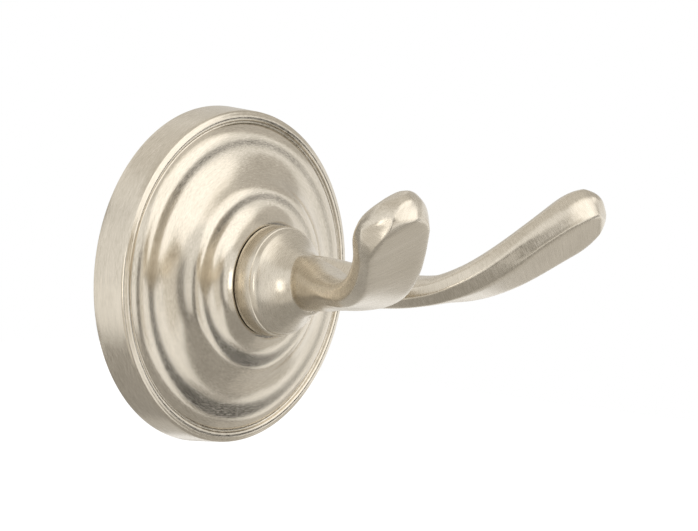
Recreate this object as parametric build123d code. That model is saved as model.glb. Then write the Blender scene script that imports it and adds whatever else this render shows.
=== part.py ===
from build123d import *

import os
from math import cos, radians, sin, sqrt

# Double robe hook on a round moulded rosette.
# The wall is the plane Y = 0, the hook stands out towards -Y and +Z is up.
# The origin is the middle of the rosette's back face. All sizes are in millimetres.
# Profiles are drawn as radius along X and distance from the wall along -Y.

# Rosette, from its back edge inwards
rosette_radius = 35.0
drum_height = 6.95
drum_taper = 0.6
edge_round = 0.66
lip_width = 1.3
lip_crown = 0.22
lip_fall = 0.12
groove_width = 0.7
groove_depth = 0.4
ring_sink = 0.2
outer_ring_width = 2.75
outer_ring_rise = 1.14
outer_ring_slope = 51.0
sweep_width = 9.15
sweep_rise = 3.47
inner_ring_width = 2.05
inner_ring_rise = 0.77
seat_depth = 16.2
side_wall = 2.0
moulding_wall = 1.9
seat_wall = 3.0
roof_slope = -6.0

# Post of the hook: the collar that stands on the rosette and the bell in front of it
collar_radius = 11.4
collar_length = 4.0
collar_taper = 0.2
collar_edge = 0.3
seat_margin = 0.45
bell_length = 6.8
bell_end_radius = 6.1
bell_tilt = 9.0

# Arms, measured from the front of the collar to the middle of the tip
arm_reach = 53.6
arm_spread = 33.8
arm_rise = 19.2
blade_width = 16.0
blade_thickness = 7.7

# Joint between hook and rosette
spigot_radius = 5.0
spigot_flat = 4.2
spigot_short = 0.4
fit_gap = 0.1
screw_radius = 2.5
screw_length = 13.0
screw_head_radius = 4.6
screw_head_height = 3.0
screw_crown_radius = 3.2
screw_crown_drop = 0.5
screw_crown_height = 1.6
screw_point = 0.8
cross_width = 1.1
cross_span = 4.6
cross_depth = 1.6
tapped_depth = 11.5
clamp_washer_radius = 7.5
clamp_washer_thickness = 1.2
lock_washer_radius = 4.4
lock_washer_thickness = 1.3
lock_washer_slit = 0.8
lock_washer_turn = 20.0

# Wall bracket with bevelled top and bottom edges
bracket_width = 22.0
bracket_back_height = 40.0
bracket_thickness = 4.0
bracket_land = 0.8
wall_screw_radius = 2.3
wall_screw_spacing = 28.0
countersink_radius = 4.3
bracket_corner = 2.5

# How far a cutting shape reaches past what it cuts
overshoot = 1.0

# Lug and set screw that hold the rosette on the bracket
lug_width = 16.0
lug_depth = 5.0
lug_wall_gap = 0.4
boss_width = 9.0
boss_inset = 6.0
set_screw_radius = 2.0
set_screw_depth = 3.3
set_screw_recess = 1.2
hex_across_flats = 2.0
hex_depth = 2.4

# Derived places, as distances from the wall
lip_outer = rosette_radius - drum_taper - edge_round
groove_outer = lip_outer - lip_width
groove_inner = groove_outer - groove_width
ring_foot = groove_inner - outer_ring_width
sweep_top = ring_foot - sweep_width
second_foot = sweep_top - inner_ring_width
seat_radius = collar_radius + seat_margin
lip_depth = drum_height + edge_round
ring_start = lip_depth - ring_sink
foot_depth = ring_start + outer_ring_rise
sweep_depth = foot_depth + sweep_rise
second_depth = sweep_depth + inner_ring_rise
roof_depth = seat_depth - seat_wall
collar_front = seat_depth + collar_length
bracket_bevel = bracket_thickness - bracket_land
bevel_gap = fit_gap * (sqrt(2) - 1)
bracket_front_height = bracket_back_height + 2 * bracket_bevel

# Outlines of the arm's section: eight corners as shares of half the width and half the
# thickness, each with how far its rounding reaches towards the next corners, up to 1. They
# start at the front's outer corner and go round by the outer edge and the back.
NECK = [
    (0.414, -0.999, 0.9),
    (0.999, -0.414, 0.9),
    (0.999, 0.414, 0.9),
    (0.414, 0.999, 0.9),
    (-0.414, 0.999, 0.9),
    (-0.999, 0.414, 0.9),
    (-0.999, -0.414, 0.9),
    (-0.414, -0.999, 0.9),
]
STEM = [
    (0.77, -0.88, 0.35),
    (1.00, -0.35, 0.3),
    (0.93, 0.62, 0.6),
    (0.56, 1.00, 0.8),
    (-0.56, 1.00, 0.8),
    (-0.93, 0.58, 0.5),
    (-1.00, -0.18, 0.3),
    (-0.66, -0.92, 0.4),
]
BLADE = [
    (0.92, -0.66, 0.35),
    (1.00, -0.16, 0.3),
    (0.94, 0.60, 0.6),
    (0.58, 1.00, 0.8),
    (-0.56, 1.00, 0.8),
    (-0.94, 0.52, 0.5),
    (-0.97, -0.10, 0.8),
    (-0.72, -0.90, 0.3),
]
LOBE = [
    (0.73, -0.88, 0.3),
    (0.97, 0.30, 0.5),
    (0.92, 0.67, 0.6),
    (0.60, 1.00, 0.8),
    (-0.58, 1.00, 0.8),
    (-0.94, 0.60, 0.6),
    (-0.92, -0.10, 0.6),
    (-0.50, -0.98, 0.3),
]
END = [
    (0.36, -0.95, 0.3),
    (0.98, -0.30, 0.8),
    (0.95, 0.40, 0.8),
    (0.36, 1.00, 0.4),
    (0.16, 1.00, 0.4),
    (-0.98, 0.40, 0.8),
    (-0.98, -0.30, 0.8),
    (0.18, -0.95, 0.3),
]
OUTLINES = [NECK, STEM, BLADE, LOBE, END]

# The arm's sections: share of the way along, shares of the blade's width and thickness, roll
# in degrees, and the outline's number, where 1.5 lies halfway from STEM to BLADE
ARM_SECTIONS = [
    (0.0000, 0.545, 1.520, 0.0, 0.00),
    (0.1000, 0.545, 1.403, 0.0, 0.00),
    (0.2000, 0.600, 1.195, 4.0, 0.00),
    (0.3000, 0.713, 0.883, 8.0, 0.50),
    (0.4100, 0.881, 0.779, 2.0, 1.00),
    (0.5300, 1.000, 0.849, -10.0, 1.00),
    (0.6600, 1.000, 0.930, -24.0, 1.15),
    (0.7800, 1.000, 1.000, -35.0, 1.90),
    (0.8500, 1.015, 1.075, -38.2, 2.00),
    (0.8980, 1.034, 1.137, -40.0, 2.20),
    (0.9340, 1.050, 1.175, -40.9, 2.55),
    (0.9635, 1.063, 1.212, -41.6, 3.10),
    (0.9825, 1.071, 1.245, -42.0, 3.70),
    (0.9927, 1.076, 1.265, -42.3, 3.93),
    (0.9978, 1.082, 1.280, -42.4, 4.00),
]

# The rounded end: where it starts and how round it is in plan and in thickness
TIP_START = 0.854
TIP_POWER = 2.2
TIP_THINNING = 0.8

# The arm's spine: shares of the spread, the reach and the rise
ARM_SPINE = [
    (0.020, 0.040, 0.000),
    (0.065, 0.164, 0.016),
    (0.218, 0.378, -0.013),
    (0.412, 0.640, 0.088),
    (0.692, 0.860, 0.539),
    (1.002, 1.005, 0.985),
]

# The bell's rings: share of its length, share of the way from its end radius to its foot
# radius, and share of the tilt
BELL_RINGS = [
    (0.00, 1.00, 0.0),
    (0.11, 0.94, 0.1),
    (0.22, 0.77, 0.2),
    (0.41, 0.50, 0.4),
    (0.63, 0.25, 0.6),
    (0.85, 0.08, 0.8),
    (1.00, 0.00, 1.0),
]


def moulding_arcs(drop, last_radius, last_depth, first_slope):
    """The ogee mouldings between the outer ring's inner foot and the seat, set back by drop."""
    foot = (ring_foot, -(foot_depth - drop))
    top = (sweep_top, -(sweep_depth - drop))
    second = (second_foot, -(second_depth - drop))
    slope = radians(first_slope)
    sweep = TangentArc(foot, top, tangent=(-cos(slope), -sin(slope)))
    ring = TangentArc(top, second, tangent=sweep % 1)
    rise = TangentArc(second, (last_radius, -last_depth), tangent=ring % 1)
    return [sweep, ring, rise]


def rosette_outline():
    """Outside of the rosette's section, from the wall to the seat of the collar."""
    crest = -(lip_depth + lip_crown)
    groove_mouth = crest + lip_fall
    ring_foot_start = -ring_start
    side = Line((rosette_radius, 0), (rosette_radius - drum_taper, -drum_height))
    edge = RadiusArc(side @ 1, (lip_outer, -lip_depth), edge_round)
    lip = ThreePointArc(edge @ 1, (lip_outer - lip_width / 2, crest), (groove_outer, groove_mouth))
    groove_middle = (groove_outer - groove_width / 2, groove_mouth + groove_depth)
    groove = ThreePointArc(lip @ 1, groove_middle, (groove_inner, ring_foot_start))
    slope = radians(outer_ring_slope)
    ring = TangentArc(groove @ 1, (ring_foot, -foot_depth), tangent=(-cos(slope), -sin(slope)))
    end = ring % 1
    sweep = TangentArc(ring @ 1, (sweep_top, -sweep_depth), tangent=end)
    inner_ring = TangentArc(sweep @ 1, (second_foot, -second_depth), tangent=sweep % 1)
    rise = TangentArc(inner_ring @ 1, (seat_radius, -seat_depth), tangent=inner_ring % 1)
    return [side, edge, lip, groove, ring, sweep, inner_ring, rise]


def turned(edges):
    """A solid of revolution about the Y axis, from a closed outline of edges."""
    face = make_face(Wire(edges))
    return revolve(face, axis=Axis.Y)


def turned_polygon(points):
    """A solid of revolution about the Y axis, from (radius, distance from the wall) points."""
    corners = [(radius, -depth) for radius, depth in points]
    face = make_face(Polyline(*corners, close=True))
    return revolve(face, axis=Axis.Y)


def rod_along_y(radius, start, end):
    """A round bar on the Y axis between two distances from the wall."""
    return turned_polygon([(0, start), (radius, start), (radius, end), (0, end)])


def make_cavity():
    """The hollow behind the rosette's mouldings."""
    side_top = lip_depth - 2 * moulding_wall + edge_round
    side = Line((rosette_radius - side_wall, 0), (groove_inner, -side_top))
    shoulder = Line(side @ 1, (ring_foot, -(foot_depth - moulding_wall)))
    arcs = moulding_arcs(moulding_wall, seat_radius, roof_depth, roof_slope)
    roof = Line(arcs[-1] @ 1, (0, -roof_depth))
    axis = Line(roof @ 1, (0, 0))
    base = Line((0, 0), side @ 0)
    return turned([side, shoulder, *arcs, roof, axis, base])


def set_screw_tip():
    """Height of the set screw's point, where its cone meets the bracket's lower bevel."""
    on_bevel = bracket_back_height / 2 + set_screw_depth - bracket_land
    return -(on_bevel + fit_gap * sqrt(2))


def make_lug():
    """The cast lug inside the rosette that hooks behind the bracket's top bevel."""
    inner = bracket_back_height / 2 + fit_gap
    outer = rosette_radius - side_wall / 2
    slant_start = bracket_land - bevel_gap
    bevel_top = inner + lug_depth - slant_start
    profile = Polyline(
        (inner, lug_wall_gap),
        (inner, slant_start),
        (bevel_top, lug_depth),
        (outer, lug_depth),
        (outer, lug_wall_gap),
        close=True,
    )
    plane = Plane(origin=(-lug_width / 2, 0, 0), x_dir=(0, 0, 1), z_dir=(1, 0, 0))
    face = plane * make_face(profile)
    return extrude(face, amount=lug_width, dir=(1, 0, 0))


def make_screw_boss():
    """The cast block that carries the set screw at the foot of the rosette."""
    top = -(bracket_front_height / 2 + fit_gap)
    bottom = -(rosette_radius - side_wall / 2)
    height = top - bottom
    block = Box(boss_width, boss_inset - lug_wall_gap, height)
    return Pos(0, -(lug_wall_gap + boss_inset) / 2, (top + bottom) / 2) * block


def spigot(radius, flat, start, end):
    """The hook's round spigot with two flats, or the hole that takes it."""
    bar = rod_along_y(radius, start, end)
    return bar & Pos(0, -(start + end) / 2, 0) * Box(2 * flat, 2 * (end - start), 4 * radius)


def make_rosette():
    """Moulded rosette, cast hollow, with its lug and screw boss inside."""
    outline = rosette_outline()
    seat = Line(outline[-1] @ 1, (0, -seat_depth))
    axis = Line(seat @ 1, (0, 0))
    base = Line(axis @ 1, outline[0] @ 0)
    body = turned([*outline, seat, axis, base])
    shell = body - make_cavity()
    inside = rod_along_y(rosette_radius - side_wall / 2, 0, lug_depth + boss_inset)
    shell += (make_lug() + make_screw_boss()) & inside
    hole_start = roof_depth - overshoot
    shell -= spigot(spigot_radius + fit_gap, spigot_flat + fit_gap, hole_start, seat_depth + overshoot)
    screw_hole = Cylinder(set_screw_radius + fit_gap, 2 * rosette_radius)
    return shell - Pos(0, -set_screw_depth, -rosette_radius) * screw_hole


def arm_frame(spine, share, roll):
    """Plane across the arm: X runs to the outer edge, Y to the upper face."""
    along = spine % share
    level = Vector(0, 0, 1).cross(along).normalized()
    raised = along.cross(level)
    turn = radians(roll)
    across = level * cos(turn) + raised * sin(turn)
    return Plane(origin=spine @ share, x_dir=across, z_dir=along)


def between(first, last, share):
    """The value at a share of the way from first to last."""
    return first + (last - first) * share


def outline_corners(number, half_width, half_thickness):
    """Corners of the outline with that number, and how far each one's rounding reaches."""
    low = min(int(number), len(OUTLINES) - 2)
    places = []
    reaches = []
    for first, second in zip(OUTLINES[low], OUTLINES[low + 1]):
        across, up, reach = [between(a, b, number - low) for a, b in zip(first, second)]
        places.append(Vector(across * half_width, up * half_thickness))
        reaches.append(reach / 2)
    return places, reaches


def rounded_outline(places, reaches):
    """Closed smooth outline through the middle and both ends of each corner's rounding."""
    count = len(places)
    points = []
    for k in range(count):
        corner = places[k]
        start = corner + (places[k - 1] - corner) * reaches[k]
        end = corner + (places[(k + 1) % count] - corner) * reaches[k]
        middle = (start + end) / 4 + corner / 2
        points += [start, middle, end]
    return Spline(*points, periodic=True)


def arm_section(spine, share, width, thickness, roll, number):
    """Section of the arm at a share of its length, drawn in towards the tip."""
    into_tip = max(0, (share - TIP_START) / (1 - TIP_START))
    rounding = (1 - into_tip ** TIP_POWER) ** (1 / TIP_POWER)
    half_width = width * blade_width / 2 * rounding
    half_thickness = thickness * blade_thickness / 2 * rounding ** TIP_THINNING
    outline = rounded_outline(*outline_corners(number, half_width, half_thickness))
    return arm_frame(spine, share, roll) * make_face(outline)


def make_arm():
    """The right-hand arm: a stem that flattens into an upturned, rolled blade."""
    points = []
    for across, out, up in ARM_SPINE:
        points.append((across * arm_spread, -(collar_front + out * arm_reach), up * arm_rise))
    spine = Spline(*points)
    sections = [arm_section(spine, *section) for section in ARM_SECTIONS]
    sections.append(Vertex(*(spine @ 1)))
    return loft(sections)


def make_bell():
    """The bell: rings that shrink from the collar to the neck and lean back at the top."""
    foot_radius = collar_radius - collar_taper - collar_edge
    rings = []
    for along, size, lean in BELL_RINGS:
        place = Pos(0, -(collar_front + along * bell_length), 0) * Rot(90 - lean * bell_tilt, 0, 0)
        radius = between(bell_end_radius, foot_radius, size)
        rings.append(place * make_face(CenterArc((0, 0), radius, 0, 360)))
    return loft(rings)


def make_collar():
    """The collar that stands on the rosette, turned about the Y axis."""
    front_radius = collar_radius - collar_taper
    back_edge = Line((0, -seat_depth), (collar_radius - collar_edge, -seat_depth))
    back_bevel = Line(back_edge @ 1, (collar_radius, -(seat_depth + collar_edge)))
    side = Line(back_bevel @ 1, (front_radius, -(collar_front - collar_edge)))
    front_bevel = Line(side @ 1, (front_radius - collar_edge, -collar_front))
    front = Line(front_bevel @ 1, (0, -collar_front))
    axis = Line(front @ 1, (0, -seat_depth))
    return turned([back_edge, back_bevel, side, front_bevel, front, axis])


def make_hook():
    """The hook: post, spigot and two arms in one casting, tapped from behind."""
    arm = make_arm()
    body = make_collar() + make_bell() + arm + arm.mirror(Plane.YZ)
    body += spigot(spigot_radius, spigot_flat, roof_depth + spigot_short, seat_depth + overshoot)
    tapped = rod_along_y(screw_radius + fit_gap, roof_depth, roof_depth + spigot_short + tapped_depth)
    return body - tapped


def make_clamp_washer():
    """Plain washer that bridges the rosette's hole."""
    start = roof_depth - clamp_washer_thickness
    ring = rod_along_y(clamp_washer_radius, start, roof_depth)
    return ring - rod_along_y(screw_radius + fit_gap, start - overshoot, roof_depth + overshoot)


def make_lock_washer():
    """Split spring washer under the screw's head."""
    end = roof_depth - clamp_washer_thickness
    start = end - lock_washer_thickness
    ring = rod_along_y(lock_washer_radius, start, end)
    ring -= rod_along_y(screw_radius + fit_gap, start - overshoot, end + overshoot)
    slit = Box(lock_washer_slit, 4 * lock_washer_thickness, lock_washer_radius)
    slit = Rot(0, lock_washer_turn, 0) * (Pos(0, -(start + end) / 2, lock_washer_radius) * slit)
    return ring - slit


def make_post_screw():
    """Pan-head machine screw that draws the hook on to the rosette."""
    under_head = roof_depth - clamp_washer_thickness - lock_washer_thickness
    top = under_head - screw_head_height
    tip = under_head + screw_length
    shoulder = (screw_crown_radius, -(top + screw_crown_drop))
    crown = ThreePointArc((0, -top), shoulder, (screw_head_radius, -(top + screw_crown_height)))
    rim = Line(crown @ 1, (screw_head_radius, -under_head))
    seat = Line(rim @ 1, (screw_radius, -under_head))
    shank = Line(seat @ 1, (screw_radius, -(tip - screw_point)))
    point = Line(shank @ 1, (screw_radius - screw_point, -tip))
    end = Line(point @ 1, (0, -tip))
    axis = Line(end @ 1, (0, -top))
    screw = turned([crown, rim, seat, shank, point, end, axis])
    for turn in (0, 90):
        bar = Box(cross_width, cross_depth + overshoot, cross_span)
        bar = Pos(0, -(top + (cross_depth - overshoot) / 2), 0) * bar
        screw -= Rot(0, turn, 0) * bar
    return screw


def make_wall_bracket():
    """Mounting plate: bevelled top and bottom edges and two countersunk holes."""
    back = bracket_back_height / 2
    front = bracket_front_height / 2
    profile = Polyline(
        (back, 0),
        (back, bracket_land),
        (front, bracket_thickness),
        (-front, bracket_thickness),
        (-back, bracket_land),
        (-back, 0),
        close=True,
    )
    plane = Plane(origin=(-bracket_width / 2, 0, 0), x_dir=(0, 0, 1), z_dir=(1, 0, 0))
    plate = extrude(plane * make_face(profile), amount=bracket_width, dir=(1, 0, 0))
    front_outline = Plane.XZ * RectangleRounded(bracket_width, bracket_front_height, bracket_corner)
    plate &= extrude(front_outline, amount=bracket_thickness)
    for side in (-1, 1):
        hole = rod_along_y(wall_screw_radius, -overshoot, bracket_thickness + overshoot)
        sink_depth = countersink_radius - wall_screw_radius
        sink = turned_polygon([
            (0, bracket_thickness - sink_depth),
            (wall_screw_radius, bracket_thickness - sink_depth),
            (countersink_radius, bracket_thickness),
            (countersink_radius, bracket_thickness + overshoot),
            (0, bracket_thickness + overshoot),
        ])
        plate -= Pos(0, 0, side * wall_screw_spacing / 2) * (hole + sink)
    return plate


def make_set_screw():
    """Headless cone-point screw with a hexagon socket, driven up from below."""
    tip = set_screw_tip()
    set_screw_length = tip + rosette_radius - set_screw_recess
    bar = Pos(0, 0, tip - set_screw_length / 2) * Cylinder(set_screw_radius, set_screw_length)
    cone_height = set_screw_radius
    keep = Pos(0, 0, tip - cone_height / 2) * Cone(set_screw_radius, 0, cone_height)
    top_slice = Pos(0, 0, tip - cone_height / 2) * Cylinder(set_screw_radius, cone_height)
    bar = (bar - top_slice) + keep
    hexagon = RegularPolygon(radius=hex_across_flats / sqrt(3), side_count=6)
    socket = extrude(Pos(0, 0, tip - set_screw_length) * hexagon, amount=hex_depth)
    return Pos(0, -set_screw_depth, 0) * (bar - socket)


PIECES = {
    "rosette": make_rosette,
    "hook": make_hook,
    "wall_bracket": make_wall_bracket,
    "clamp_washer": make_clamp_washer,
    "lock_washer": make_lock_washer,
    "post_screw": make_post_screw,
    "set_screw": make_set_screw,
}


def main():
    """Build each piece and write it out."""
    os.makedirs("parts", exist_ok=True)
    for name, make in PIECES.items():
        shape = make()
        export_step(shape, f"parts/{name}.step")


main()
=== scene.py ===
"""Looks of a double robe hook in brushed satin nickel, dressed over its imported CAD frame.

The wall is the plane Y = 0, the hook stands out towards -Y and +Z is up. Sizes are held in
millimetres, as a drawing gives them, and each mesh is brought to metres when it is finished.
"""

import logging
import math
from dataclasses import dataclass, field
from enum import Enum

import bmesh
import bpy
import numpy as np
from mathutils import Matrix, Vector
from mathutils.kdtree import KDTree


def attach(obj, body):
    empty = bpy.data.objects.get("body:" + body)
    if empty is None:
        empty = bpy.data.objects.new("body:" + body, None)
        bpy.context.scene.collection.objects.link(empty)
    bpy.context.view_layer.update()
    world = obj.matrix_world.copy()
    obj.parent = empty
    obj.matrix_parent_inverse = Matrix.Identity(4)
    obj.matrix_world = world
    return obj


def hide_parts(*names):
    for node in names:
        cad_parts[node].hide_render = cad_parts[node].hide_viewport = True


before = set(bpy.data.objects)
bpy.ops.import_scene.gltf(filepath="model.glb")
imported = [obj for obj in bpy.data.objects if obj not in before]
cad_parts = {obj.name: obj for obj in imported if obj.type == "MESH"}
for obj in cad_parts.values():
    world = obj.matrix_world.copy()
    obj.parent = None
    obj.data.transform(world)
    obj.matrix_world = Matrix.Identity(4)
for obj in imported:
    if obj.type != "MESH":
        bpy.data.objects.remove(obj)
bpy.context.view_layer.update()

MM = 0.001
PHOTO_WIDTH = 698
BRUSHING = "brushing"
TURNED_MAP_RADIUS = 10.0
NOISE_ROUGHNESS = 0.55
NOISE_MIDDLE = (0.3, 0.7)
LOG = logging.getLogger("robe_hook")

Point = tuple[float, float]
Triple = tuple[float, float, float]


class Slot(Enum):
    """Material slot names, as the record gives them; the pieces built here don't use them."""

    SATIN_NICKEL = "satin_nickel"


class Grain(Enum):
    """How the brushing runs over a surface."""

    TURNED = "round the post's axis"
    ALONG_UV = "across the arm, by the mesh's own map"


def smooth_between(knots: np.ndarray, values: np.ndarray, at: np.ndarray) -> np.ndarray:
    """Monotone cubic through a table's rows.

    Args:
        knots: the rows' places, in rising order.
        values: one column of numbers per quantity, a row for each knot.
        at: the places to read.

    Returns:
        The quantities at each place.
    """
    step = np.diff(knots)[:, None]
    slope = np.diff(values, axis=0) / step
    inner = np.zeros_like(values)
    both = slope[:-1] * slope[1:]
    weight_a = 2 * step[1:] + step[:-1]
    weight_b = step[1:] + 2 * step[:-1]
    with np.errstate(divide="ignore", invalid="ignore"):
        mean = (weight_a + weight_b) / (weight_a / slope[:-1] + weight_b / slope[1:])
    inner[1:-1] = np.where(both > 0, mean, 0.0)
    inner[0] = slope[0]
    inner[-1] = slope[-1]
    row = np.clip(np.searchsorted(knots, at, side="right") - 1, 0, len(knots) - 2)
    span = step[row]
    t = (at[:, None] - knots[row][:, None]) / span
    start = (1 + 2 * t) * (1 - t) ** 2 * values[row] + t * (1 - t) ** 2 * span * inner[row]
    return start + t * t * (3 - 2 * t) * values[row + 1] + t * t * (t - 1) * span * inner[row + 1]


def cubic_through(points: np.ndarray, at: np.ndarray) -> tuple[np.ndarray, np.ndarray]:
    """Smooth curve through points, read by share of its length.

    Args:
        points: the points that the curve passes through.
        at: shares of the curve's length, from 0 to 1.

    Returns:
        Places and directions at those shares.
    """
    chord = np.concatenate([[0.0], np.cumsum(np.linalg.norm(np.diff(points, axis=0), axis=1))])
    chord /= chord[-1]
    count = len(points)
    gap = np.diff(chord)
    system = np.zeros((count, count))
    right = np.zeros((count, 3))
    for i in range(1, count - 1):
        system[i, i - 1 : i + 2] = gap[i - 1], 2 * (gap[i - 1] + gap[i]), gap[i]
        right[i] = 6 * ((points[i + 1] - points[i]) / gap[i] - (points[i] - points[i - 1]) / gap[i - 1])
    system[0, :3] = gap[1], -(gap[0] + gap[1]), gap[0]
    system[-1, -3:] = gap[-1], -(gap[-2] + gap[-1]), gap[-2]
    bend = np.linalg.solve(system, right)

    def place(t: np.ndarray) -> np.ndarray:
        """Points at chord shares t."""
        k = np.clip(np.searchsorted(chord, t, side="right") - 1, 0, count - 2)
        h = gap[k][:, None]
        a = (chord[k + 1] - t)[:, None]
        b = (t - chord[k])[:, None]
        cubic = (bend[k] * a**3 + bend[k + 1] * b**3) / (6 * h)
        line_a = (points[k] / h - bend[k] * h / 6) * a
        line_b = (points[k + 1] / h - bend[k + 1] * h / 6) * b
        return cubic + line_a + line_b

    fine = np.linspace(0, 1, 2001)
    track = place(fine)
    length = np.concatenate([[0.0], np.cumsum(np.linalg.norm(np.diff(track, axis=0), axis=1))])
    t = np.interp(at, length / length[-1], fine)
    small = 1e-4
    ahead = place(np.clip(t + small, 0, 1)) - place(np.clip(t - small, 0, 1))
    return place(t), ahead / np.linalg.norm(ahead, axis=1)[:, None]


def arc_from(start: Point, slope: float, end: Point, steps: int) -> tuple[list[Point], float]:
    """Arc that leaves a point at a given slope and ends at another point.

    Args:
        start: where the arc begins, as radius and distance from the wall.
        slope: its first direction as an angle, in radians.
        end: where it ends.
        steps: how many chords make it.

    Returns:
        The points after the start, and the angle at the end.
    """
    chord = math.atan2(end[1] - start[1], end[0] - start[0])
    turn = chord - slope
    turn = math.atan2(math.sin(turn), math.cos(turn))
    reach = math.hypot(end[0] - start[0], end[1] - start[1])
    points = []
    for i in range(1, steps + 1):
        t = i / steps
        bent = 2 * turn * t
        if abs(turn) < 1e-6:
            span = reach * t
        else:
            span = reach * math.sin(turn * t) / math.sin(turn)
        angle = slope + bent / 2
        points.append((start[0] + span * math.cos(angle), start[1] + span * math.sin(angle)))
    return points, slope + 2 * turn


def new_object(name: str, shape: bmesh.types.BMesh, sharp: float = 32.0) -> bpy.types.Object:
    """Turn a finished bmesh, drawn in millimetres, into an object at the origin.

    Args:
        name: the object's name.
        shape: the bmesh, which is freed.
        sharp: edges that turn by more than this many degrees keep a crisp shade.

    Returns:
        The new object, linked to the scene.
    """
    bmesh.ops.scale(shape, vec=(MM, MM, MM), verts=shape.verts)
    mesh = bpy.data.meshes.new(name)
    shape.to_mesh(mesh)
    shape.free()
    mesh.shade_smooth()
    mesh.set_sharp_from_angle(angle=math.radians(sharp))
    made = bpy.data.objects.new(name, mesh)
    bpy.context.scene.collection.objects.link(made)
    return made


def joined_by_boolean(
    name: str, first: bmesh.types.BMesh, others: list[tuple[bmesh.types.BMesh, str]], sharp: float = 32.0
) -> bpy.types.Object:
    """Add or cut closed shapes with an exact Boolean.

    Args:
        name: the result's name.
        first: the shape to start from.
        others: each further shape with UNION or DIFFERENCE.
        sharp: the angle in degrees past which an edge is crisp.

    Returns:
        One object with the joined mesh.
    """
    body = new_object(name, first, sharp)
    tools = []
    for number, (shape, operation) in enumerate(others):
        tool = new_object(f"{name}_tool_{number}", shape, sharp)
        step = body.modifiers.new(f"step_{number}", "BOOLEAN")
        step.operation = operation
        step.solver = "EXACT"
        step.object = tool
        tools.append(tool)
    bpy.context.view_layer.update()
    ready = body.evaluated_get(bpy.context.evaluated_depsgraph_get())
    mesh = bpy.data.meshes.new_from_object(ready)
    mesh.name = name
    body.modifiers.clear()
    body.data = mesh
    for tool in tools:
        bpy.data.objects.remove(tool)
    mesh.shade_smooth()
    mesh.set_sharp_from_angle(angle=math.radians(sharp))
    return body


def spun(profile: list[Point], steps: int) -> bmesh.types.BMesh:
    """Closed shell of revolution about the post's axis.

    Args:
        profile: closed outline as radius and distance from the wall, with its two ends on the axis
            or meeting each other.
        steps: how many steps a full turn takes.

    Returns:
        The shell, with its faces outwards.
    """
    shape = bmesh.new()
    row = [shape.verts.new((radius, -depth, 0.0)) for radius, depth in profile]
    edges = [shape.edges.new(pair) for pair in zip(row, row[1:])]
    bmesh.ops.spin(
        shape,
        geom=row + edges,
        cent=(0, 0, 0),
        axis=(0, 1, 0),
        angle=2 * math.pi,
        steps=steps,
        use_merge=True,
        use_duplicate=False,
    )
    bmesh.ops.remove_doubles(shape, verts=shape.verts, dist=0.0005)
    bmesh.ops.recalc_face_normals(shape, faces=shape.faces)
    return shape


def flatted_peg(radius: float, flat: float, near: float, far: float) -> bmesh.types.BMesh:
    """Round peg along the post's axis with a flat on either side.

    Args:
        radius: the peg's radius.
        flat: distance of the flats from the axis.
        near: distance of its near end from the wall.
        far: distance of its far end from the wall.

    Returns:
        The peg, closed at both ends.
    """
    shape = bmesh.new()
    bmesh.ops.create_circle(shape, cap_ends=True, segments=96, radius=radius)
    for vert in shape.verts:
        vert.co.x = max(-flat, min(flat, vert.co.x))
    bmesh.ops.remove_doubles(shape, verts=shape.verts, dist=0.001)
    bmesh.ops.rotate(shape, matrix=Matrix.Rotation(math.radians(90), 3, "X"), verts=shape.verts)
    bmesh.ops.translate(shape, vec=(0, -near, 0), verts=shape.verts)
    grown = bmesh.ops.extrude_face_region(shape, geom=shape.faces[:])
    tops = [item for item in grown["geom"] if isinstance(item, bmesh.types.BMVert)]
    bmesh.ops.translate(shape, vec=(0, near - far, 0), verts=tops)
    bmesh.ops.recalc_face_normals(shape, faces=shape.faces)
    return shape


def map_round(shape: bmesh.types.BMesh) -> bmesh.types.BMesh:
    """Give a shape a map that runs round the post's axis and along its outline.

    Args:
        shape: the shape, in millimetres.

    Returns:
        The same shape.
    """
    layer = shape.loops.layers.uv.new(BRUSHING)
    for face in shape.faces:
        middle = face.calc_center_median()
        home = math.atan2(middle.x, middle.z)
        for loop in face.loops:
            place = loop.vert.co
            turn = math.atan2(place.x, place.z) - home
            turn = math.atan2(math.sin(turn), math.cos(turn)) + home
            loop[layer].uv = (turn * TURNED_MAP_RADIUS, -place.y - math.hypot(place.x, place.z))
    return shape


# Longest edges near a seam after each round of splitting, in millimetres.
SEAM_EDGES = (0.8, 0.5)
# Faces that turn by more than this many degrees meet at a seam.
SEAM_TURN = 12


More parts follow.
